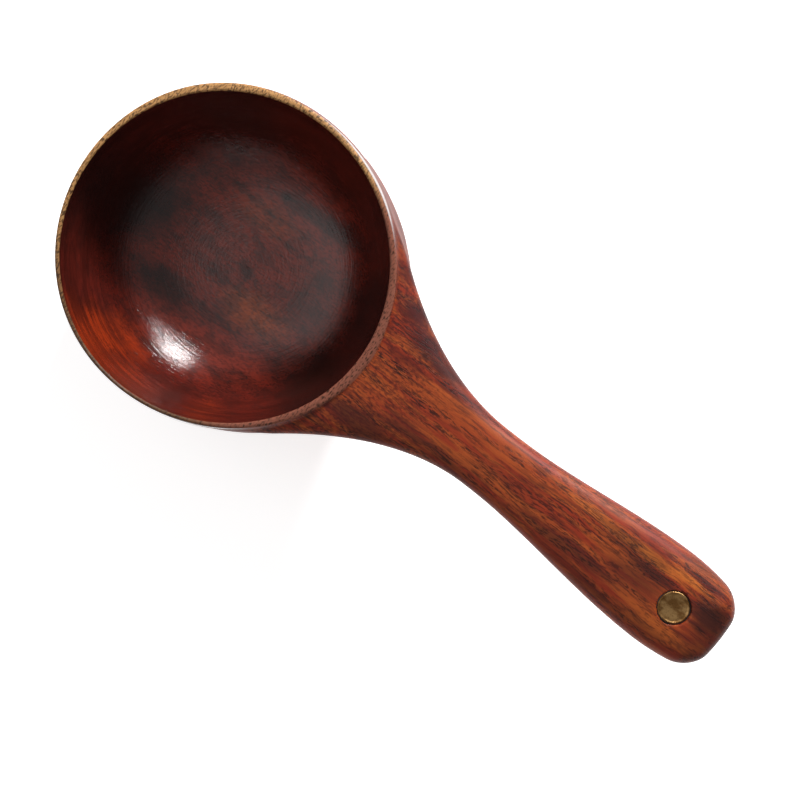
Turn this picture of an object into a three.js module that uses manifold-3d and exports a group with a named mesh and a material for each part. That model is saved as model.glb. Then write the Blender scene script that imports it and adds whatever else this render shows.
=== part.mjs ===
// A wooden ladle: a round turned bowl and a straight handle carved from one billet,
// with a brass pin driven through the handle near its end.
//
// Millimetres, +Z up. The origin is the centre of the bowl's flat base, on the table.
// +X points along the handle, towards its end.
import * as THREE from 'three';
import { mergeVertices } from 'three/addons/utils/BufferGeometryUtils.js';
import Module from 'manifold-3d';

const wasm = await Module();
wasm.setup();

// ---- bowl ----
const rimHeight = 46;         // lip of the bowl above the table
const lipRound = 0.5;         // rounding of the lip's outer edge
const mouthRadius = 41.75;    // cavity at the lip
const wallRadius = 44.4;      // outer wall at its widest
const widestHeight = 34;
const lipTuck = 1.1;          // how far the outer wall draws in from there to the lip
const wallCurveDepth = 46;    // half height of the rounded wall, cut off by the base
const wallCurvePower = 2.5;
const baseRound = 1;
const floorHeight = 10;       // thickness of wood under the cavity
const cavityRadiusPower = 4.4;  // flat floor that turns up into a steep wall
const cavityDepthPower = 2;
const cavityOvershoot = 2;    // the cutter rises past the lip

// The billet has dried uneven: longer along the grain, with three very shallow lobes,
// and the cavity is not quite concentric with the outer wall.
const outside = { oval: 0.0178, ovalTurn: -0.16, lobes: 0.011, shiftX: -0.2, shiftY: 0.2 };
const inside = { oval: 0.0105, ovalTurn: 0, lobes: 0.0055, shiftX: -0.4, shiftY: -0.1 };

// ---- handle ----
const handleStart = 15;       // buried in the bowl
const handleEnd = 155.8;
const neckTop = 45.5;         // the neck lies a little below the lip
const handleRise = 6;         // how much the end lifts above the neck
const risePower = 1.6;        // the lift comes mostly towards the end
const neckHalfWidth = 8.9;
const neckBow = 0.4;          // the neck bends very slightly to one side
const neckBowX = 76;
const neckBowSpread = 26;
const flareHalfWidth = 24.3;  // extra half width where the neck leaves the bowl
const flareStart = 30;
const flareEnd = 82;          // the flare has died away here
const skirtStart = 36;        // from here the flare's sides run tangent to the bowl
const skirtSlope = 0.72;
const skirtBend = 0.01;
const flarePowerAcross = 1.9; // how hollow its sides are
const flarePowerUp = 2.2;     // how hollow its underside is
const gripHalfWidth = 12.95;
const gripStart = 85;
const gripWidest = 138;
const sideRadius = 58;        // side of the handle between the widest place and the corner
const endRadius = 50;         // shallow arc across the end
const cornerRound = 5.5;
const neckShoulder = 4.5;     // the sides are widest this far below the top
const gripShoulder = 6;
const neckThickness = 11.5;
const gripThickness = 13;
const flareThickness = 19;
const endThinning = 9;        // length over which the end thins
const endThinningPower = 2.2;
const sectionPower = 2.8;     // between an ellipse and a rounded box

// ---- brass pin ----
const pinX = 141.4;
const pinY = -0.5;
const pinRadius = 4;
const boreRadius = 4.3;
const pinRecess = 0.15;       // the pin's faces lie just inside the wood
const pinLipWidth = 0.6;      // raised edge round each face
const dishDepth = 0.2;

// ---- mesh fineness ----
const aroundBowl = 56;
const alongWall = 10;
const aroundHandle = 24;
const alongHandle = 34;
const aroundPin = 32;
const weldDistance = 1e-4;

const materials = {
  wood: { color: 0x8a3a22, roughness: 0.35, metalness: 0 },
  brass: { color: 0x8a6a3c, roughness: 0.45, metalness: 1 },
};

// Smooth step from 0 at `from` to 1 at `to`.
const smoothRamp = (x, from, to) => THREE.MathUtils.smoothstep(x, from, to);

// The smaller of two lengths, with the corner between them rounded.
function roundedMin(a, b, round) {
  return (a + b - Math.hypot(a - b, round)) / 2;
}

// A superellipse's height at `x`, both from 0 to 1.
function superellipse(x, powerAcross, powerUp) {
  return (1 - Math.min(Math.abs(x), 1) ** powerAcross) ** (1 / powerUp);
}

// three.js geometry as a manifold-3d solid: corners welded and empty triangles dropped.
function toSolid(geometry) {
  const bare = geometry.clone();
  bare.deleteAttribute('normal');
  bare.deleteAttribute('uv');
  const welded = mergeVertices(bare, weldDistance);
  const triangles = [];
  for (let i = 0; i < welded.index.count; i += 3) {
    const [a, b, c] = [0, 1, 2].map((corner) => welded.index.getX(i + corner));
    if (a !== b && b !== c && c !== a) {
      triangles.push(a, b, c);
    }
  }
  return new wasm.Manifold(new wasm.Mesh({
    numProp: 3,
    vertProperties: new Float32Array(welded.attributes.position.array),
    triVerts: new Uint32Array(triangles),
  }));
}

function toGeometry(solid) {
  const mesh = solid.getMesh();
  const geometry = new THREE.BufferGeometry();
  geometry.setAttribute('position', new THREE.BufferAttribute(mesh.vertProperties, 3));
  geometry.setIndex(new THREE.BufferAttribute(mesh.triVerts, 1));
  geometry.computeVertexNormals();
  return geometry;
}

// Turns a profile of [radius, height] points about Z, then makes it uneven.
function turned(profile, segments, { oval, ovalTurn, lobes, shiftX, shiftY }) {
  const points = profile.map(([radius, height]) => new THREE.Vector2(radius, height));
  const geometry = new THREE.LatheGeometry(points, segments);
  geometry.rotateX(Math.PI / 2);
  const position = geometry.attributes.position;
  for (let i = 0; i < position.count; i += 1) {
    const x = position.getX(i);
    const y = position.getY(i);
    const angle = Math.atan2(y, x);
    const ovalPart = oval * Math.cos(2 * (angle - ovalTurn));
    const swell = 1 + ovalPart + lobes * Math.cos(3 * angle);
    position.setX(i, x * swell + shiftX);
    position.setY(i, y * swell + shiftY);
  }
  return toSolid(geometry);
}

// Outer radius of the bowl at a height: a rounded wall that draws in again at the lip.
function outerRadius(height) {
  const lipRadius = wallRadius - lipTuck;
  if (height > widestHeight) {
    const up = (height - widestHeight) / (rimHeight - widestHeight);
    return THREE.MathUtils.lerp(wallRadius, lipRadius, up * up);
  }
  const down = (widestHeight - height) / wallCurveDepth;
  return wallRadius * superellipse(down, wallCurvePower, wallCurvePower);
}

// Height of the cavity's surface at a distance from its axis.
function cavityHeight(radius) {
  const depth = rimHeight - floorHeight;
  const rise = superellipse(radius / mouthRadius, cavityRadiusPower, cavityDepthPower);
  return rimHeight - depth * rise;
}

function bowlBlank() {
  const profile = [[0, 0], [outerRadius(0) - baseRound, 0]];
  for (let i = 0; i <= alongWall; i += 1) {
    const height = THREE.MathUtils.lerp(baseRound, rimHeight - lipRound, i / alongWall);
    profile.push([outerRadius(height), height]);
  }
  profile.push([outerRadius(rimHeight) - lipRound, rimHeight], [0, rimHeight]);
  return turned(profile, aroundBowl, outside);
}

function cavityCutter() {
  const profile = [];
  for (let i = 0; i <= alongWall; i += 1) {
    const radius = mouthRadius * Math.sin((i / alongWall) * Math.PI / 2);
    profile.push([radius, cavityHeight(radius)]);
  }
  profile.push([mouthRadius, rimHeight + cavityOvershoot], [0, rimHeight + cavityOvershoot]);
  return turned(profile, aroundBowl, inside);
}

// How much of the flare is left at `x`: 1 where the neck leaves the bowl, 0 at its end.
function flareLeft(x, power) {
  const left = (flareEnd - Math.max(x, flareStart)) / (flareEnd - flareStart);
  return Math.max(0, left) ** power;
}

function handleHalfWidth(x) {
  const skirt = Math.max(0, skirtStart - x);
  const hollow = flareHalfWidth * flareLeft(Math.max(x, skirtStart), flarePowerAcross);
  const flare = hollow + skirtSlope * skirt - skirtBend * skirt ** 2;
  const swell = smoothRamp(x, gripStart, gripWidest);
  const grip = (gripHalfWidth - neckHalfWidth) * swell;
  const taper = Math.max(0, x - gripWidest) ** 2 / (2 * sideRadius);
  const side = neckHalfWidth + flare + grip - taper;
  const fromEndCentre = Math.max(0, x - handleEnd + endRadius);
  const end = Math.sqrt(Math.max(0, endRadius ** 2 - fromEndCentre ** 2));
  return x < gripWidest ? side : Math.max(0, roundedMin(side, end, cornerRound));
}

function handleTop(x) {
  const along = Math.max(0, x - wallRadius) / (handleEnd - wallRadius);
  return neckTop + handleRise * along ** risePower;
}

function handleThickness(x) {
  const swell = smoothRamp(x, gripStart, gripWidest);
  const plain = THREE.MathUtils.lerp(neckThickness, gripThickness, swell);
  return plain + flareThickness * flareLeft(x, flarePowerUp);
}

// A point on the cross-section at `x`, which is widest at its shoulder height.
function handlePoint(x, around) {
  const swell = smoothRamp(x, gripStart, gripWidest);
  const shoulder = THREE.MathUtils.lerp(neckShoulder, gripShoulder, swell);
  const endDepth = Math.max(0, x - handleEnd + endThinning) / endThinning;
  const thinning = superellipse(endDepth, endThinningPower, endThinningPower);
  const [across, up] = [Math.cos(around), Math.sin(around)];
  const reach = up > 0 ? shoulder : handleThickness(x) - shoulder;
  const bow = neckBow * Math.exp(-(((x - neckBowX) / neckBowSpread) ** 2));
  const y = handleHalfWidth(x) * Math.sign(across) * Math.abs(across) ** (2 / sectionPower);
  const z = reach * thinning * Math.sign(up) * Math.abs(up) ** (2 / sectionPower);
  return new THREE.Vector3(x, y + bow, handleTop(x) - shoulder + z);
}

// The handle is a sphere pulled out along X: its poles are the two ends, and each
// parallel becomes one cross-section.
function handleBlank() {
  const geometry = new THREE.SphereGeometry(1, aroundHandle, alongHandle);
  const position = geometry.attributes.position;
  const startPole = new THREE.Vector3(handleStart, 0, neckTop - neckShoulder);
  for (let i = 0; i < position.count; i += 1) {
    const fromPole = Math.acos(THREE.MathUtils.clamp(-position.getY(i), -1, 1)) / Math.PI;
    const around = Math.atan2(position.getX(i), position.getZ(i));
    const along = Math.sin(fromPole * Math.PI / 2);
    const x = THREE.MathUtils.lerp(handleStart, handleEnd, along);
    const point = fromPole === 0 ? startPole : handlePoint(x, around);
    position.setXYZ(i, point.x, point.y, point.z);
  }
  return toSolid(geometry);
}

function boreCutter() {
  const height = rimHeight + handleRise + cavityOvershoot;
  const geometry = new THREE.CylinderGeometry(boreRadius, boreRadius, height, aroundPin);
  geometry.rotateX(Math.PI / 2);
  geometry.translate(pinX, pinY, height / 2);
  return toSolid(geometry);
}

function ladleBody() {
  const blank = bowlBlank().add(handleBlank());
  return toGeometry(blank.subtract(cavityCutter()).subtract(boreCutter()));
}

// A plain round pin whose two faces are slightly dished.
function brassPin() {
  const top = handleTop(pinX) - pinRecess;
  const bottom = handleTop(pinX) - handleThickness(pinX) + pinRecess;
  const lip = pinRadius - pinLipWidth;
  const profile = [
    [0, bottom + dishDepth],
    [lip, bottom + dishDepth / 2],
    [pinRadius - dishDepth, bottom],
    [pinRadius, bottom + dishDepth],
    [pinRadius, top - dishDepth],
    [pinRadius - dishDepth, top],
    [lip, top - dishDepth / 2],
    [0, top - dishDepth],
  ];
  const points = profile.map(([radius, height]) => new THREE.Vector2(radius, height));
  const geometry = new THREE.LatheGeometry(points, aroundPin);
  geometry.rotateX(Math.PI / 2);
  geometry.translate(pinX, pinY, 0);
  return toGeometry(toSolid(geometry));
}

function part(name, geometry, finish) {
  const mesh = new THREE.Mesh(geometry, new THREE.MeshStandardMaterial(finish));
  mesh.name = name;
  return mesh;
}

const ladle = new THREE.Group();
ladle.add(part('ladle_body', ladleBody(), materials.wood));
ladle.add(part('brass_pin', brassPin(), materials.brass));

export default ladle;
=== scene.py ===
"""A lacquered wooden ladle with a brass pin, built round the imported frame.

The body is one smooth implicit surface: a turned bowl and a carved handle blended into each
other, less the cavity and the pin's bore. Lengths in the shape code are millimetres.
"""
import math

import bpy
import numpy as np
from mathutils import Matrix, Vector


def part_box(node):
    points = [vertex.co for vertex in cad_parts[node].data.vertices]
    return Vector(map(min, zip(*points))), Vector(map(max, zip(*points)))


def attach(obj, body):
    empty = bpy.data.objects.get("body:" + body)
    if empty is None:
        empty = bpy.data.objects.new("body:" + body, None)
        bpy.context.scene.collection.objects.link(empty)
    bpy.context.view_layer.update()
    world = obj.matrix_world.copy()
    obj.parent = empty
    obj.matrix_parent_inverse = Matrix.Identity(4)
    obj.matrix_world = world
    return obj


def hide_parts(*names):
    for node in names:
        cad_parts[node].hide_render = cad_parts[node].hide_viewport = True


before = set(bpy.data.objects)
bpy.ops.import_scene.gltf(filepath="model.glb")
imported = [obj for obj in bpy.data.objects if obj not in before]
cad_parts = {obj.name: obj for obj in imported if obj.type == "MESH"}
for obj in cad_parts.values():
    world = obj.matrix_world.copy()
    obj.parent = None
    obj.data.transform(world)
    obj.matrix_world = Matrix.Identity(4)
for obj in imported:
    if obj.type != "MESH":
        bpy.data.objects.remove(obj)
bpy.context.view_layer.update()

MM = 0.001
body_low, body_high = (np.array(corner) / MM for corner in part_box("ladle_body"))
pin_low, pin_high = (np.array(corner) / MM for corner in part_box("brass_pin"))

# ---- bowl ----
RIM_HEIGHT = 46.0
LIP_ROUND = 0.55
MOUTH_RADIUS = 41.75
WALL_RADIUS = 44.4
WIDEST_HEIGHT = 34.0
LIP_TUCK = 1.1
WALL_CURVE_DEPTH = 46.0
WALL_CURVE_POWER = 2.5
BASE_ROUND = 1.5
FLOOR_HEIGHT = 10.0
CAVITY_RADIUS_POWER = 4.4
CAVITY_DEPTH_POWER = 2.0
OUTSIDE = {"oval": 0.0178, "oval_turn": -0.16, "lobes": 0.011, "shift": (-0.2, 0.2)}
INSIDE = {"oval": 0.0105, "oval_turn": 0.0, "lobes": 0.0055, "shift": (-0.4, -0.1)}

# ---- handle ----
HANDLE_START = 15.0
HANDLE_END = body_high[0]
NECK_TOP = 45.5
HANDLE_RISE = 6.0
RISE_POWER = 1.6
NECK_HALF_WIDTH = 8.9
NECK_BOW = 0.4
NECK_BOW_X = 76.0
NECK_BOW_SPREAD = 26.0
FLARE_HALF_WIDTH = 24.3
FLARE_START = 30.0
FLARE_END = 82.0
SKIRT_START = 36.0
SKIRT_SLOPE = 0.72
SKIRT_BEND = 0.010
FLARE_POWER_ACROSS = 1.9
FLARE_POWER_UP = 2.2
GRIP_HALF_WIDTH = 12.95
GRIP_START = 85.0
GRIP_WIDEST = 138.0
SIDE_RADIUS = 58.0
END_RADIUS = 50.0
END_ROUND = 5.5
NECK_SHOULDER = 4.5
GRIP_SHOULDER = 6.0
NECK_THICKNESS = 11.5
GRIP_THICKNESS = 13.0
FLARE_THICKNESS = 19.0
SECTION_POWER = 2.8
FILLET = 7.0
FILLET_ZONE = (6.0, 22.0)
TOP_SEAM = 0.7

# ---- pin ----
PIN_CENTRE = (pin_low + pin_high) / 2
PIN_RADIUS = (pin_high[0] - pin_low[0]) / 2
GLUE_GAP = 0.22                 # the CAD's gap is 0.3, but the photo's dark line is thinner
BORE_RADIUS = PIN_RADIUS + GLUE_GAP
BORE_EDGE_ROUND = 0.25

# ---- mesh fineness: this step keeps the body under the export's 200,000 faces for an STL ----
STEP = 0.72
LIP_STEP = 0.3
LIP_ZONE = (44.2, 46.4)
MARGIN = 1.5
SMOOTHING_ROUNDS = 2


# ---------------------------------------------------------------- implicit shapes
def rounded_max(a, b, radius):
    """Cuts one shape by another and rounds the edge between them."""
    over = np.hypot(np.maximum(a + radius, 0), np.maximum(b + radius, 0)) - radius
    return np.where((a > -radius) & (b > -radius), over, np.maximum(a, b))


def rounded_min(a, b, radius):
    """Joins two shapes with a fillet."""
    return -rounded_max(-a, -b, radius)


def smooth_step(x, low, high):
    t = np.clip((x - low) / (high - low), 0, 1)
    return t * t * (3 - 2 * t)


def turned_radius(x, y, shape):
    """Distance from the bowl's axis, with the billet's unevenness taken out."""
    x = x - shape["shift"][0]
    y = y - shape["shift"][1]
    angle = np.arctan2(y, x)
    oval = shape["oval"] * np.cos(2 * (angle - shape["oval_turn"]))
    return np.hypot(x, y) / (1 + oval + shape["lobes"] * np.cos(3 * angle))


def outer_radius(height):
    """Outer radius of the bowl at a height."""
    down = np.clip((WIDEST_HEIGHT - height) / WALL_CURVE_DEPTH, 0, 1)
    lower = WALL_RADIUS * (1 - down ** WALL_CURVE_POWER) ** (1 / WALL_CURVE_POWER)
    up = np.clip((height - WIDEST_HEIGHT) / (RIM_HEIGHT - WIDEST_HEIGHT), 0, 1.2)
    return lower - LIP_TUCK * up ** 2


def bowl_field(x, y, z):
    """The solid turned bowl, before it is hollowed."""
    slope = outer_radius(z + 0.5) - outer_radius(z - 0.5)
    wall = (turned_radius(x, y, OUTSIDE) - outer_radius(z)) / np.hypot(1, slope)
    bowl = rounded_max(wall, z - RIM_HEIGHT, LIP_ROUND)
    return rounded_max(bowl, -z, BASE_ROUND)


def superellipse_field(across, up, power):
    """Roughly a distance to the curve across**power + up**power = 1.

    Both arguments are pairs: the coordinate as a fraction of its half size, and that half size.
    """
    u, half_u = across
    v, half_v = up
    level = (u ** power + v ** power) ** (1 / power) + 1e-6
    steep = np.hypot(u ** (power - 1) / half_u, v ** (power - 1) / half_v) * level ** (1 - power)
    return (level - 1) / np.maximum(steep, 1e-3)


def cavity_field(x, y, z):
    """Negative inside the cavity, near its surface roughly a distance."""
    radius = turned_radius(x, y, INSIDE)
    depth = RIM_HEIGHT - FLOOR_HEIGHT
    across = radius / MOUTH_RADIUS
    down = np.maximum(RIM_HEIGHT - z, 0) / depth
    level = across ** CAVITY_RADIUS_POWER + down ** CAVITY_DEPTH_POWER - 1
    steep_across = CAVITY_RADIUS_POWER * across ** (CAVITY_RADIUS_POWER - 1) / MOUTH_RADIUS
    steep_down = CAVITY_DEPTH_POWER * down ** (CAVITY_DEPTH_POWER - 1) / depth
    return level / np.maximum(np.hypot(steep_across, steep_down), 0.01)


def flare_left(x, power):
    left = (FLARE_END - np.maximum(x, FLARE_START)) / (FLARE_END - FLARE_START)
    return np.maximum(left, 0) ** power


def handle_top(x):
    along = np.maximum(x - WALL_RADIUS, 0) / (HANDLE_END - WALL_RADIUS)
    return NECK_TOP + HANDLE_RISE * along ** RISE_POWER


def handle_thickness(x):
    grip = smooth_step(x, GRIP_START, GRIP_WIDEST)
    plain = NECK_THICKNESS + (GRIP_THICKNESS - NECK_THICKNESS) * grip
    return plain + FLARE_THICKNESS * flare_left(x, FLARE_POWER_UP)


def handle_half_width(x):
    skirt = np.maximum(SKIRT_START - x, 0)
    flare = FLARE_HALF_WIDTH * flare_left(np.maximum(x, SKIRT_START), FLARE_POWER_ACROSS)
    flare = flare + SKIRT_SLOPE * skirt - SKIRT_BEND * skirt ** 2
    grip = (GRIP_HALF_WIDTH - NECK_HALF_WIDTH) * smooth_step(x, GRIP_START, GRIP_WIDEST)
    taper = np.maximum(x - GRIP_WIDEST, 0) ** 2 / (2 * SIDE_RADIUS)
    return NECK_HALF_WIDTH + flare + grip - taper


def handle_field(x, y, z):
    bow = NECK_BOW * np.exp(-(((x - NECK_BOW_X) / NECK_BOW_SPREAD) ** 2))
    half_width = handle_half_width(x)
    grip = smooth_step(x, GRIP_START, GRIP_WIDEST)
    shoulder = NECK_SHOULDER + (GRIP_SHOULDER - NECK_SHOULDER) * grip
    up = z - (handle_top(x) - shoulder)
    reach = np.where(up > 0, shoulder, handle_thickness(x) - shoulder)
    half_chord = np.sqrt(np.maximum(END_RADIUS ** 2 - y ** 2, 1))
    end = (x - HANDLE_END + END_RADIUS - half_chord) * half_chord / END_RADIUS
    outline = rounded_max(np.abs(y - bow) - half_width, end, END_ROUND)
    across = np.maximum(1 + outline / half_width, 0)
    handle = superellipse_field((across, half_width), (np.abs(up) / reach, reach), SECTION_POWER)
    return np.maximum(handle, HANDLE_START - x)


def body_field(points):
    """The whole wooden body: negative inside the wood."""
    x, y, z = points
    fillet = TOP_SEAM + FILLET * smooth_step(NECK_TOP - z, *FILLET_ZONE)
    blank = rounded_min(bowl_field(x, y, z), handle_field(x, y, z), fillet)
    hollow = rounded_max(blank, -cavity_field(x, y, z), LIP_ROUND)
    bore = BORE_RADIUS - np.hypot(x - PIN_CENTRE[0], y - PIN_CENTRE[1])
    return rounded_max(hollow, bore, BORE_EDGE_ROUND)


# ---------------------------------------------------------------- surface from the field
def gradient(field, points, reach=0.02):
    slopes = []
    for axis in range(3):
        offset = np.zeros((3, 1))
        offset[axis] = reach
        slopes.append((field(points + offset) - field(points - offset)) / (2 * reach))
    return np.array(slopes)


def grid_lines(low, high, fine=None):
    """Coordinates from low to high, closer together in the fine stretch."""
    lines = [low]
    while lines[-1] < high:
        in_fine = fine is not None and fine[0] <= lines[-1] <= fine[1]
        lines.append(lines[-1] + (LIP_STEP if in_fine else STEP))
    return np.array(lines)


def grid_values(field, xs, ys, zs):
    plane_y, plane_z = (part.ravel() for part in np.meshgrid(ys, zs, indexing="ij"))
    slabs = [field(np.array([np.full_like(plane_y, x), plane_y, plane_z])) for x in xs]
    return np.array(slabs).reshape(len(xs), len(ys), len(zs))


def surface_net(field, axes):
    """Quads round the field's zero level, with one point in each cell that it crosses."""
    inside = grid_values(field, *axes) < 0
    corners = [inside[i:i - 1 or None, j:j - 1 or None, k:k - 1 or None]
               for i in (0, 1) for j in (0, 1) for k in (0, 1)]
    count = sum(corner.astype(np.int8) for corner in corners)
    crossed = (count > 0) & (count < 8)
    number = np.full(crossed.shape, -1)
    number[crossed] = np.arange(crossed.sum())
    cells = np.argwhere(crossed).T
    points = np.array([(lines[cell] + lines[cell + 1]) / 2 for lines, cell in zip(axes, cells)])
    quads = []
    for axis in range(3):
        sides = np.moveaxis(inside, axis, 0)
        cell = np.moveaxis(number, axis, 0)
        start = sides[:-1, 1:-1, 1:-1]
        i, j, k = np.nonzero(start != sides[1:, 1:-1, 1:-1])
        ring = np.stack([cell[i, j, k], cell[i, j + 1, k],
                         cell[i, j + 1, k + 1], cell[i, j, k + 1]], axis=1)
        faces_up_axis = start[i, j, k] != (axis == 1)
        quads.append(np.where(faces_up_axis[:, None], ring, ring[:, ::-1]))
    return points, np.concatenate(quads)


def pull_to_surface(field, points, rounds):
    """Moves points onto the field's zero level by Newton's method."""
    for _ in range(rounds):
        slope = gradient(field, points)
        points = points - field(points) * slope / (slope ** 2).sum(axis=0)
    return points


def even_out(points, quads):
    """Moves each point halfway to the middle of its neighbours."""
    pairs = np.concatenate([quads[:, [n, (n + 1) % 4]] for n in range(4)])
    total = np.zeros_like(points)
    for axis in range(3):
        total[axis] += np.bincount(pairs[:, 0], points[axis, pairs[:, 1]], points.shape[1])
        total[axis] += np.bincount(pairs[:, 1], points[axis, pairs[:, 0]], points.shape[1])
    share = np.bincount(pairs.ravel(), minlength=points.shape[1])
    return points / 2 + total / share / 2


def new_piece(name, points, faces, material):
    """A smooth-shaded mesh object from points in millimetres."""
    mesh = bpy.data.meshes.new(name)
    mesh.from_pydata((points.T * MM).tolist(), [], faces)
    mesh.shade_smooth()
    mesh.materials.append(material)
    piece = bpy.data.objects.new(name, mesh)
    bpy.context.scene.collection.objects.link(piece)
    return piece


def make_body(material):
    axes = (grid_lines(body_low[0] - MARGIN, body_high[0] + MARGIN),
            grid_lines(body_low[1] - MARGIN, body_high[1] + MARGIN),
            grid_lines(body_low[2] - MARGIN, body_high[2] + MARGIN, LIP_ZONE))
    points, quads = surface_net(body_field, axes)
    points = pull_to_surface(body_field, points, rounds=3)
    for _ in range(SMOOTHING_ROUNDS):
        points = pull_to_surface(body_field, even_out(points, quads), rounds=2)
    body = new_piece("turned_wood_body", points, quads.tolist(), material)
    normals = gradient(body_field, points)
    normals = normals / np.linalg.norm(normals, axis=0)
    body.data.normals_split_custom_set_from_vertices(normals.T.tolist())
    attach(body, "root")
    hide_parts("ladle_body")


# ---------------------------------------------------------------- materials
def paint(code):
    """An sRGB hex code as the linear colour that Blender's sockets take."""
    parts = [int(code[n:n + 2], 16) / 255 for n in (0, 2, 4)]
    return (*[((part + 0.055) / 1.055) ** 2.4 if part > 0.04 else part / 12.92 for part in parts], 1)


class Graph:
    """One material and the nodes that feed its shader. Places in it are in millimetres."""

    def __init__(self, name):
        self.material = bpy.data.materials.new(name)
        self.material.use_nodes = True
        self.tree = self.material.node_tree
        self.shader = self.tree.nodes["Principled BSDF"]
        texture_place = self.add("ShaderNodeTexCoord", {}, "Object")
        self.place = self.vector("MULTIPLY", texture_place, [1 / MM] * 3)

    def add(self, kind, inputs, output=0, **settings):
        """Makes a node, sets or links its inputs and gives back one output."""
        node = self.tree.nodes.new(kind)
        for setting, choice in settings.items():
            setattr(node, setting, choice)
        for socket, value in inputs.items():
            self.feed(node.inputs[socket], value)
        return node.outputs[output]

    def feed(self, socket, value):
        if isinstance(value, bpy.types.NodeSocket):
            self.tree.links.new(value, socket)
        else:
            socket.default_value = value

    def math(self, operation, *values):
        return self.add("ShaderNodeMath", dict(enumerate(values)), operation=operation)

    def vector(self, operation, *values, output=0):
        inputs = dict(enumerate(values))
        return self.add("ShaderNodeVectorMath", inputs, output, operation=operation)

    def times(self, *values):
        product = values[0]
        for value in values[1:]:
            product = self.math("MULTIPLY", product, value)
        return product

    def plus(self, *values):
        total = values[0]
        for value in values[1:]:
            total = self.math("ADD", total, value)
        return total

    def split(self, vector):
        node = self.tree.nodes.new("ShaderNodeSeparateXYZ")
        self.feed(node.inputs[0], vector)
        return node.outputs[0], node.outputs[1], node.outputs[2]

    def step(self, value, low, high):
        """Smooth from 0 at low to 1 at high; low may be the greater."""
        inputs = {"Value": value, "From Min": low, "From Max": high}
        return self.add("ShaderNodeMapRange", inputs, interpolation_type="SMOOTHSTEP")

    def mix(self, share, colour_a, colour_b, blend="MIX"):
        inputs = {0: share, 6: colour_a, 7: colour_b}
        return self.add("ShaderNodeMix", inputs, 2, data_type="RGBA", blend_type=blend)

    def noise(self, place, size, detail=2.0, rough=0.5, twist=0.0):
        """Noise whose grains are size millimetres along each axis."""
        scaled = self.vector("DIVIDE", place, size)
        inputs = {"Vector": scaled, "Scale": 1.0, "Detail": detail, "Roughness": rough,
                  "Distortion": twist}
        return self.add("ShaderNodeTexNoise", inputs)

    def warp(self, place, size, reach):
        """The place moved about by ragged noise, up to about reach millimetres."""
        scaled = self.vector("DIVIDE", place, size)
        inputs = {"Vector": scaled, "Scale": 1.0, "Detail": 5.0, "Roughness": 0.6}
        wander = self.add("ShaderNodeTexNoise", inputs, "Color")
        centred = self.vector("SUBTRACT", wander, (0.5, 0.5, 0.5))
        return self.vector("ADD", place, self.vector("MULTIPLY", centred, reach))

    def patch(self, place, centre, half_size, core):
        """1 in the core of an ellipsoid, fading to 0 at its surface."""
        offset = self.vector("DIVIDE", self.vector("SUBTRACT", place, centre), half_size)
        return self.step(self.vector("LENGTH", offset, output="Value"), 1.0, core)

    def finish(self, colour, roughness, height, **constants):
        """Feeds the shader; height is in millimetres."""
        self.feed(self.shader.inputs["Base Color"], colour)
        self.feed(self.shader.inputs["Roughness"], roughness)
        bump = self.add("ShaderNodeBump", {"Height": height, "Distance": MM, "Strength": 1.0})
        self.feed(self.shader.inputs["Normal"], bump)
        self.feed(self.shader.inputs["Coat Normal"], bump)
        for socket, value in constants.items():
            self.shader.inputs[socket.replace("_", " ")].default_value = value
        return self.material


# ---- wood ----
HOLLOW_WIDER = 1.2              # how far the mask of the hollow reaches into the wood
HOLLOW_DEEPER = 3.0
HOLLOW_HIGHER = 0.5
MASK_SOFTNESS = 0.02
RIM_FADE = (46.0, 45.0)         # distances from the axis between which the rim's colour ends
RIM_FACE = (RIM_HEIGHT - 0.5, RIM_HEIGHT - 0.25)
DEEP = 1000.0                   # half height of a patch that runs right through the body
RED_BROWN = paint("872C16")
ORANGE_BROWN = paint("9E481E")
GOLD = paint("B86426")
DARK_BROWN = paint("3A1812")
MAROON = paint("46120F")
PORE = paint("160605")
BOWL_WALL = paint("561B14")
# Painted light: brighter orange for the key-lit lower (-Y) wall of the bowl near the rim; also an
# orange spot in the wood.
BOWL_ORANGE_PAINTED_LIGHT = paint("8E2E12")
BOWL_BAND = paint("30100C")
BOWL_GLOW = paint("BC5A2C")
BOWL_FLOOR = paint("903222")
BOWL_SHADE = paint("261412")
BARE_WOOD = paint("AE8150")
# Painted shade: bare rim wood as it looks on the side away from the key light.
BARE_WOOD_PAINTED_SHADE = paint("5E4028")
BARE_TICK = paint("2E1A0E")
RIM_LACQUER = paint("7C4838")

# Each patch is a colour, its share, its centre in X and Y, and its half length and half width.
HANDLE_PATCHES = (
    (ORANGE_BROWN, 0.65, (66, 4.0), (24, 4.5)),
    (ORANGE_BROWN, 0.40, (47, -3), (9, 9)),
    (ORANGE_BROWN, 0.60, (90, 4), (22, 2.2)),
    (MAROON, 0.90, (41, 25.5), (8, 4)),
    (MAROON, 1.00, (47, 18.5), (8, 5)),
    (MAROON, 1.00, (54, 14), (9, 4.2)),
    (MAROON, 0.95, (62, 11.5), (11, 3)),
    (MAROON, 0.60, (70, 8.8), (12, 2)),
    (MAROON, 0.55, (52, 7.5), (9, 2)),
    (DARK_BROWN, 0.70, (52, -12), (13, 6)),
    (DARK_BROWN, 0.45, (62, -6), (9, 3)),
    (GOLD, 0.55, (116, 6.0), (20, 1.9)),
    (GOLD, 0.85, (130, 6.0), (12, 1.9)),
    (GOLD, 0.80, (140, 7.2), (10, 1.6)),
    (GOLD, 0.35, (140, -7), (14, 3)),
    (MAROON, 0.95, (144, 9.2), (11, 1.3)),
    (DARK_BROWN, 0.95, (149.5, 3.2), (9, 6.0)),
    (DARK_BROWN, 0.75, (134, 3.0), (12, 2.0)),
    (DARK_BROWN, 0.55, (112, -5), (24, 2.6)),
    (DARK_BROWN, 0.60, (129, -0.5), (14, 4.5)),
    (DARK_BROWN, 0.60, (152, -2), (8, 13)),
)
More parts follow.
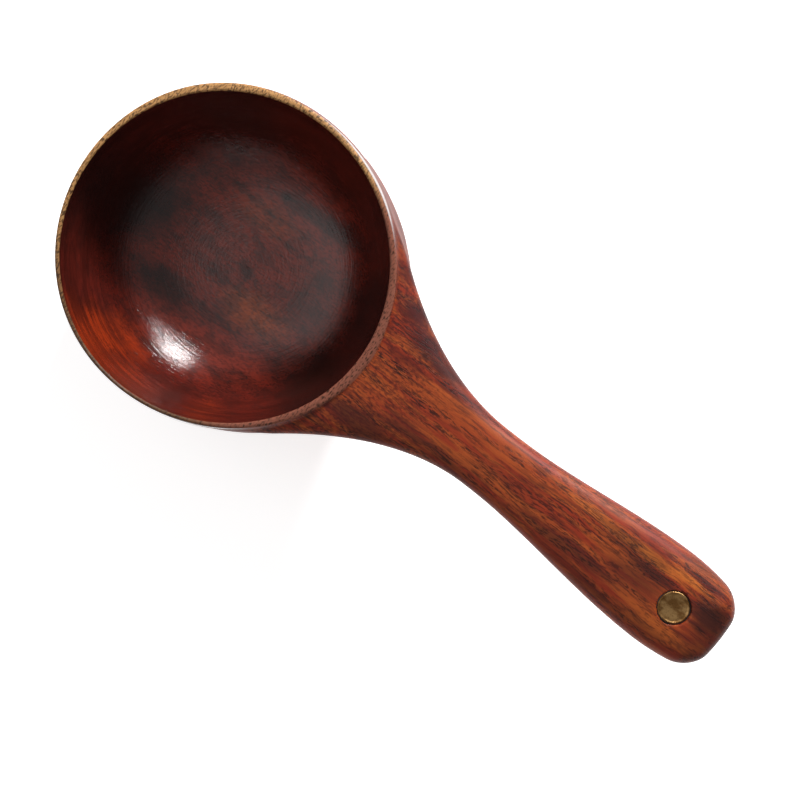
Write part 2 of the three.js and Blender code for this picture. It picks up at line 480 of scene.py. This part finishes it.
# Places where the pores are dense: share, centre and half size, as above.
PORE_PATCHES = (
    (0.9, (50, 4.6), (10, 2.0)),
    (0.9, (61, 1.4), (10, 1.8)),
    (0.8, (72, -0.8), (11, 1.2)),
    (0.8, (89, -4.2), (12, 1.1)),
    (0.7, (84, 4.5), (16, 1.0)),
    (0.7, (52, 13), (14, 4)),
    (0.8, (110, 1.6), (18, 1.4)),
    (0.8, (106, -5.5), (20, 1.6)),
    (0.8, (114, 4.6), (10, 1.0)),
    (0.8, (139, 9.2), (10, 1.5)),
    (0.6, (141, -5.5), (12, 1.2)),
    (1.0, (9, 22), (17, 1.6)),
    (0.9, (1, -1), (5, 2.5)),
)
BOWL_PATCHES = (
    # Painted light: the first two patches brighten the key-lit lower wall near the rim; the third,
    # at (20, -37), is an orange spot in the wood.
    (BOWL_ORANGE_PAINTED_LIGHT, 1.00, (-19, -37), (20, 8)),
    (BOWL_ORANGE_PAINTED_LIGHT, 0.60, (-4, -41), (16, 4)),
    (BOWL_ORANGE_PAINTED_LIGHT, 0.40, (20, -37), (10, 5)),
    (BOWL_SHADE, 0.50, (8, -37), (3, 5)),
    (BOWL_SHADE, 0.90, (36, -14), (13, 20)),
    (BOWL_SHADE, 0.75, (36, 12), (12, 18)),
    (BOWL_SHADE, 0.90, (-36, -5), (13, 20)),
    (BOWL_SHADE, 0.55, (-24, 30), (22, 14)),
    # Painted shadow: this patch darkens the floor on the -Y side, where the shadow of the opposite
    # rim falls.
    (BOWL_SHADE, 0.80, (-15, -17), (12, 8)),
    (BOWL_SHADE, 0.75, (-28, 0), (9, 13)),
    (BOWL_SHADE, 0.55, (12, 23), (24, 4)),
    (BOWL_SHADE, 0.40, (19, 4), (9, 14)),
    (BOWL_SHADE, 0.90, (-1.5, 21.8), (4.0, 2.6)),
    (BOWL_SHADE, 0.75, (0, -1), (4.0, 3.2)),
    (BOWL_GLOW, 0.80, (9, -9), (15, 8)),
    (BOWL_GLOW, 0.35, (-4, 14), (14, 6)),
)


def add_patches(graph, place, colour, patches):
    for patch_colour, share, centre, half_size in patches:
        mask = graph.patch(place, (*centre, 0), (*half_size, DEEP), core=0.2)
        colour = graph.mix(graph.times(mask, share), colour, patch_colour)
    return colour


def flat_length(graph, place):
    """Distance from the bowl's axis."""
    flat = graph.vector("MULTIPLY", place, (1, 1, 0))
    return graph.vector("LENGTH", flat, output="Value")


def grain_noises(graph):
    """The growth figure and the fibres, as noise drawn out along the billet."""
    wavy = graph.warp(graph.place, (26, 9, 9), (0, 3.4, 3.4))
    curly = graph.warp(graph.place, (3, 3, 3), (2.5, 1.2, 1.2))
    return {
        "streak": graph.noise(wavy, (30, 1.9, 1.9), detail=4),
        "vein": graph.noise(wavy, (13, 0.6, 0.6), detail=4, rough=0.6),
        "shade": graph.noise(wavy, (34, 5, 5)),
        "fibre": graph.noise(wavy, (7, 0.2, 0.2)),
        "mottle": graph.noise(curly, (1.5, 0.6, 0.6), detail=3),
        "dash": graph.noise(wavy, (2.8, 0.30, 0.30)),
        "band": graph.noise(wavy, (40, 2.6, 2.6)),
    }


def handle_colour(graph, grain):
    """The handle, the neck and the outside of the bowl."""
    x, _, _ = graph.split(graph.place)
    colour = graph.mix(graph.step(grain["streak"], 0.38, 0.64), RED_BROWN, ORANGE_BROWN)
    ragged = graph.warp(graph.place, (7, 1.6, 1.6), (7, 2.6, 2.6))
    colour = add_patches(graph, ragged, colour, HANDLE_PATCHES)
    shade = graph.times(graph.step(grain["shade"], 0.48, 0.68), 0.5)
    colour = graph.mix(shade, colour, DARK_BROWN)
    vein = graph.times(graph.step(grain["vein"], 0.48, 0.64), 0.55)
    colour = graph.mix(vein, colour, DARK_BROWN)
    neck = graph.times(graph.step(x, 74, 54), graph.plus(0.25, graph.step(x, 32, 42)))
    mottle = graph.times(graph.step(grain["mottle"], 0.44, 0.64), neck, 0.56)
    colour = graph.mix(mottle, colour, MAROON)
    # Painted shade: the outside of the bowl is darkened halfway towards maroon below x = 28, fading
    # out by x = 44.
    return graph.mix(graph.times(graph.step(x, 44, 28), 0.5), colour, MAROON)


def bowl_colour(graph, grain):
    """The inside of the bowl: dark wall, lighter floor, stains and turning marks."""
    _, _, z = graph.split(graph.place)
    colour = graph.mix(graph.step(z, 20, 9), BOWL_WALL, BOWL_FLOOR)
    blotch = graph.warp(graph.place, (9, 6, 9), (10, 8, 0))
    colour = add_patches(graph, blotch, colour, BOWL_PATCHES)
    shade = graph.times(graph.step(grain["shade"], 0.46, 0.66), 0.4)
    colour = graph.mix(shade, colour, BOWL_SHADE)
    stain = graph.times(graph.step(graph.noise(blotch, (5, 4, 12), detail=4), 0.45, 0.65),
                        graph.step(z, 34, 16), 0.45)
    colour = graph.mix(stain, colour, BOWL_SHADE)
    bands = turning_marks(graph, 1.6, 0.36)
    banded = graph.times(graph.step(bands, 0.42, 0.60), graph.step(z, 18, 28), 0.60)
    colour = graph.mix(banded, colour, BOWL_BAND)
    mottle = graph.times(graph.step(grain["mottle"], 0.42, 0.68), graph.step(z, 34, 16), 0.5)
    return graph.mix(mottle, colour, BOWL_SHADE)


def rim_colour(graph):
    """Bare wood with dark ticks and painted shade on the side away from the key light, still
    lacquered beside the handle.
    """
    x, y, _ = graph.split(graph.place)
    tick = graph.noise(graph.place, (0.35, 1.1, 0.5), detail=3)
    # Painted shade: the bare rim darkens towards +X and -Y, away from the key light, and is lighter
    # towards it.
    toward_key_light = graph.plus(graph.times(x, -0.6), graph.times(y, 0.8))
    bare = graph.mix(graph.step(toward_key_light, -22, 26), BARE_WOOD_PAINTED_SHADE, BARE_WOOD)
    bare = graph.mix(graph.times(graph.step(tick, 0.46, 0.60), 0.85), bare, BARE_TICK)
    lacquered = graph.mix(graph.step(tick, 0.46, 0.70), RIM_LACQUER, BARE_TICK)
    return graph.mix(graph.step(x, 14, 28), bare, lacquered)


def hollow_mask(graph):
    """1 on the inside of the bowl: within a copy of the hollow that is a little larger."""
    _, _, z = graph.split(graph.place)
    across = graph.math("DIVIDE", flat_length(graph, graph.place), MOUTH_RADIUS + HOLLOW_WIDER)
    down = graph.math("DIVIDE", graph.math("SUBTRACT", RIM_HEIGHT + HOLLOW_HIGHER, z),
                      RIM_HEIGHT - FLOOR_HEIGHT + HOLLOW_DEEPER)
    level = graph.plus(graph.math("POWER", across, CAVITY_RADIUS_POWER),
                       graph.math("POWER", down, CAVITY_DEPTH_POWER))
    return graph.step(level, 1 + MASK_SOFTNESS, 1 - MASK_SOFTNESS)


def rim_mask(graph):
    """1 on the flat top of the rim, but not on the handle beside it."""
    _, _, z = graph.split(graph.place)
    near_axis = graph.step(flat_length(graph, graph.place), *RIM_FADE)
    return graph.times(graph.step(z, *RIM_FACE), near_axis)


def turning_marks(graph, turns, rows):
    """Noise drawn out round the bowl's axis: grains to a radian and rows to a millimetre."""
    _, _, z = graph.split(graph.place)
    down_wall = graph.plus(flat_length(graph, graph.place), z)
    around = graph.vector("NORMALIZE", graph.vector("MULTIPLY", graph.place, (1, 1, 0)))
    wound = graph.vector("MULTIPLY", around, (turns, turns, 0))
    row = graph.add("ShaderNodeCombineXYZ", {2: graph.times(down_wall, rows)})
    return graph.noise(graph.vector("ADD", wound, row), (1, 1, 1), detail=4, rough=0.65)


def pore_mask(graph, grain, hollow):
    """Open pores: short dashes along the grain, gathered in bands."""
    density = graph.times(graph.step(grain["band"], 0.44, 0.60), 0.75)
    for share, centre, half_size in PORE_PATCHES:
        patch = graph.patch(graph.place, (*centre, 0), (*half_size, DEEP), core=0.4)
        density = graph.math("MAXIMUM", density, graph.times(patch, share))
    dash = graph.step(grain["dash"], 0.50, 0.58)
    outside = graph.math("SUBTRACT", 1.0, graph.times(hollow, 0.45))
    return graph.times(dash, density, outside)


def wood_material():
    graph = Graph("lacquered_hardwood")
    grain = grain_noises(graph)
    hollow = hollow_mask(graph)
    rim = rim_mask(graph)
    ring = turning_marks(graph, 4, 1.6)
    pore = pore_mask(graph, grain, hollow)
    colour = graph.mix(hollow, handle_colour(graph, grain), bowl_colour(graph, grain))
    ring_tint = graph.times(graph.math("SUBTRACT", ring, 0.25), hollow, 0.5)
    fine = graph.plus(0.62, graph.times(grain["fibre"], 0.5), ring_tint)
    tint = graph.add("ShaderNodeCombineXYZ", {0: fine, 1: fine, 2: fine})
    colour = graph.mix(1.0, colour, tint, "MULTIPLY")
    colour = graph.mix(graph.times(pore, 0.92), colour, PORE)
    colour = graph.mix(rim, colour, rim_colour(graph))
    roughness = graph.plus(0.40, graph.times(grain["fibre"], 0.12), graph.times(pore, 0.08),
                           graph.times(hollow, -0.29), graph.times(rim, 0.25))
    outer = graph.math("SUBTRACT", 1.0, hollow)
    height = graph.plus(graph.times(grain["fibre"], 0.010), graph.times(pore, outer, -0.018),
                        graph.times(ring, hollow, 0.10), graph.times(grain["mottle"], outer, 0.006))
    inner_wall = graph.times(hollow, graph.math("SUBTRACT", 1.0, rim))
    graph.feed(graph.shader.inputs["Coat Weight"], graph.times(inner_wall, 0.7))
    return graph.finish(colour, roughness, height, Specular_IOR_Level=0.22, Coat_Roughness=0.13)


# ---- brass ----
def brass_material():
    graph = Graph("aged_brass")
    tarnish = graph.noise(graph.place, (3.0, 1.6, 3.0), detail=4)
    speck = graph.noise(graph.place, (0.30, 0.30, 0.30))
    scratch = graph.noise(graph.place, (3.0, 0.14, 1.0), detail=3)
    colour = graph.mix(graph.step(tarnish, 0.36, 0.64), paint("B08A5A"), paint("77542F"))
    colour = graph.mix(graph.times(graph.step(speck, 0.54, 0.72), 0.5), colour, paint("4A3018"))
    roughness = graph.plus(0.34, graph.times(tarnish, 0.2))
    height = graph.plus(graph.times(scratch, 0.012), graph.times(tarnish, 0.02))
    return graph.finish(colour, roughness, height, Metallic=1.0)


# Glue in the gap round the pin; its near-black colour is painted shade of the narrow gap.
def glue_and_gap_shade_material():
    graph = Graph("glue_with_painted_gap_shade")
    grime = graph.noise(graph.place, (0.6, 0.6, 0.6))
    colour = graph.mix(grime, paint("180D09"), paint("2C1810"))
    roughness = graph.plus(0.35, graph.times(grime, 0.2))
    return graph.finish(colour, roughness, graph.times(grime, 0.02))


def plain_material(name, colour, roughness, emission=0.0):
    material = bpy.data.materials.new(name)
    material.use_nodes = True
    shader = material.node_tree.nodes["Principled BSDF"]
    shader.inputs["Base Color"].default_value = colour
    shader.inputs["Roughness"].default_value = roughness
    shader.inputs["Emission Color"].default_value = colour
    shader.inputs["Emission Strength"].default_value = emission
    return material


# ---------------------------------------------------------------- pin
PIN_SEGMENTS = 96
PIN_SHIFT = (-0.13, 0.04)       # off the bore's centre, as the uneven dark line shows
PIN_SINK = 0.1
GLUE_RECESS = 0.35
GLUE_OVERLAP = 0.12
GLUE_DIP = 0.1
# Radius and height of points on the dished face and its rolled lip, from the axis outwards.
PIN_FACE = ((0.0, -0.32), (1.0, -0.31), (2.0, -0.24), (2.8, -0.16), (3.2, -0.13), (3.45, -0.10),
            (3.58, -0.02), (3.72, 0.04), (3.84, 0.03), (3.94, -0.04), (4.0, -0.16), (4.0, -0.5))


def lathe(profile, segments):
    """Points and faces of a turned solid; the profile starts and ends on the axis."""
    angles = np.arange(segments) * 2 * math.pi / segments
    inner = np.array(profile[1:-1])
    points = [(0, 0, profile[0][1])]
    points += [(r * math.cos(a), r * math.sin(a), h) for r, h in inner for a in angles]
    points.append((0, 0, profile[-1][1]))
    faces = []
    last = len(points) - 1
    for n in range(segments):
        after = (n + 1) % segments
        faces.append((0, 1 + n, 1 + after))
        for row in range(len(inner) - 1):
            a, b = 1 + row * segments, 1 + (row + 1) * segments
            faces.append((a + n, b + n, b + after, a + after))
        base = 1 + (len(inner) - 1) * segments
        faces.append((last, base + after, base + n))
    return np.array(points).T, faces


def hammered(points):
    """Small dents in the faces and a slightly uneven outline."""
    x, y, z = points
    angle = np.arctan2(y, x)
    swell = 1 + 0.006 * np.cos(3 * angle + 0.7) + 0.004 * np.cos(5 * angle)
    dents = 0.03 * np.sin(1.7 * x + 0.8) * np.sin(2.1 * y + 0.4) + 0.015 * np.sin(4.3 * x - 3.1 * y)
    return np.array([x * swell, y * swell, z + dents])


def make_pin(material):
    half_length = (pin_high[2] - pin_low[2]) / 2
    upper = [(r, half_length + h - PIN_SINK) for r, h in PIN_FACE]
    lower = [(r, -h) for r, h in reversed(upper)]
    points, faces = lathe(upper + lower, PIN_SEGMENTS)
    points = hammered(points) + (PIN_CENTRE + (*PIN_SHIFT, 0))[:, None]
    pin = new_piece("dished_brass_pin", points, faces, material)
    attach(pin, "root")
    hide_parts("brass_pin")


def make_glue_and_gap_shade(material):
    """The dark line of glue that fills the gap round the pin, a little below the wood; its
    near-black colour is painted shade of the narrow gap.
    """
    half_length = (pin_high[2] - pin_low[2]) / 2 - GLUE_RECESS
    inner, outer = PIN_RADIUS - GLUE_OVERLAP, BORE_RADIUS + GLUE_OVERLAP
    section = ((inner, -half_length), (outer, -half_length), (outer, half_length),
               ((inner + outer) / 2, half_length - GLUE_DIP), (inner, half_length))
    angles = np.arange(PIN_SEGMENTS) * 2 * math.pi / PIN_SEGMENTS
    points = [(r * math.cos(a), r * math.sin(a), h) for a in angles for r, h in section]
    count = len(section)
    faces = []
    for n in range(PIN_SEGMENTS):
        here, after = n * count, (n + 1) % PIN_SEGMENTS * count
        for side in range(count):
            up = (side + 1) % count
            faces.append((here + side, after + side, after + up, here + up))
    glue = new_piece("glue_and_gap_shade_line", np.array(points).T + PIN_CENTRE[:, None], faces, material)
    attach(glue, "root")


# ---------------------------------------------------------------- stage
FLOOR_HALF_SIZE = 6.0
FLOOR_GLOW = 0.7
SENSOR_WIDTH = 36
LENS = 67.5
CAMERA_PLACE = (0.066, 0.020, 0.421)
CAMERA_TARGET = (0.0565, -0.0013, 0.046)
CAMERA_TURN = math.radians(37.6)
WORLD_STRENGTH = 0.32
KEY_TARGET = (0.03, 0, 0.03)


def make_floor():
    mesh = bpy.data.meshes.new("floor")
    size = FLOOR_HALF_SIZE
    mesh.from_pydata([(-size, -size, 0), (size, -size, 0), (size, size, 0), (-size, size, 0)],
                     [], [(0, 1, 2, 3)])
    mesh.materials.append(plain_material("floor_white", (0.9, 0.9, 0.9, 1), 0.8, FLOOR_GLOW))
    floor = bpy.data.objects.new("floor", mesh)
    bpy.context.scene.collection.objects.link(floor)


def look_from(position, target, right_turn):
    """Camera matrix looking at the target, with +X in the picture turned clockwise."""
    forward = (Vector(target) - Vector(position)).normalized()
    along = Vector((1, 0, 0))
    along = (along - along.dot(forward) * forward).normalized()
    down = forward.cross(along)
    right = math.cos(right_turn) * along - math.sin(right_turn) * down
    below = math.sin(right_turn) * along + math.cos(right_turn) * down
    axes = Matrix((right, -below, -forward)).transposed().to_4x4()
    return Matrix.Translation(Vector(position)) @ axes


def make_camera():
    camera = bpy.data.objects.new("camera", bpy.data.cameras.new("camera"))
    camera.data.sensor_width = SENSOR_WIDTH
    camera.data.lens = LENS
    camera.data.clip_start = 0.01
    camera.matrix_world = look_from(CAMERA_PLACE, CAMERA_TARGET, CAMERA_TURN)
    bpy.context.scene.collection.objects.link(camera)
    bpy.context.scene.camera = camera


def area_light(name, position, target, width, height, power):
    data = bpy.data.lights.new(name, "AREA")
    data.shape = "RECTANGLE"
    data.size = width
    data.size_y = height
    data.energy = power
    light = bpy.data.objects.new(name, data)
    light.location = position
    aim = Vector(target) - Vector(position)
    light.rotation_mode = "QUATERNION"
    light.rotation_quaternion = aim.to_track_quat("-Z", "Y")
    bpy.context.scene.collection.objects.link(light)


def make_lights():
    world = bpy.data.worlds.new("studio")
    world.use_nodes = True
    world.node_tree.nodes["Background"].inputs["Color"].default_value = (1, 1, 1, 1)
    world.node_tree.nodes["Background"].inputs["Strength"].default_value = WORLD_STRENGTH
    bpy.context.scene.world = world
    area_light("key", (-0.16, 0.90, 0.47), KEY_TARGET, width=0.28, height=0.18, power=17.5)
    area_light("overhead", (-0.55, -0.25, 0.85), (0, 0, 0.03), width=1.0, height=1.0, power=2.2)


bpy.context.scene.view_settings.view_transform = "Standard"
make_camera()
make_body(wood_material())
make_pin(brass_material())
make_glue_and_gap_shade(glue_and_gap_shade_material())
make_floor()
make_lights()
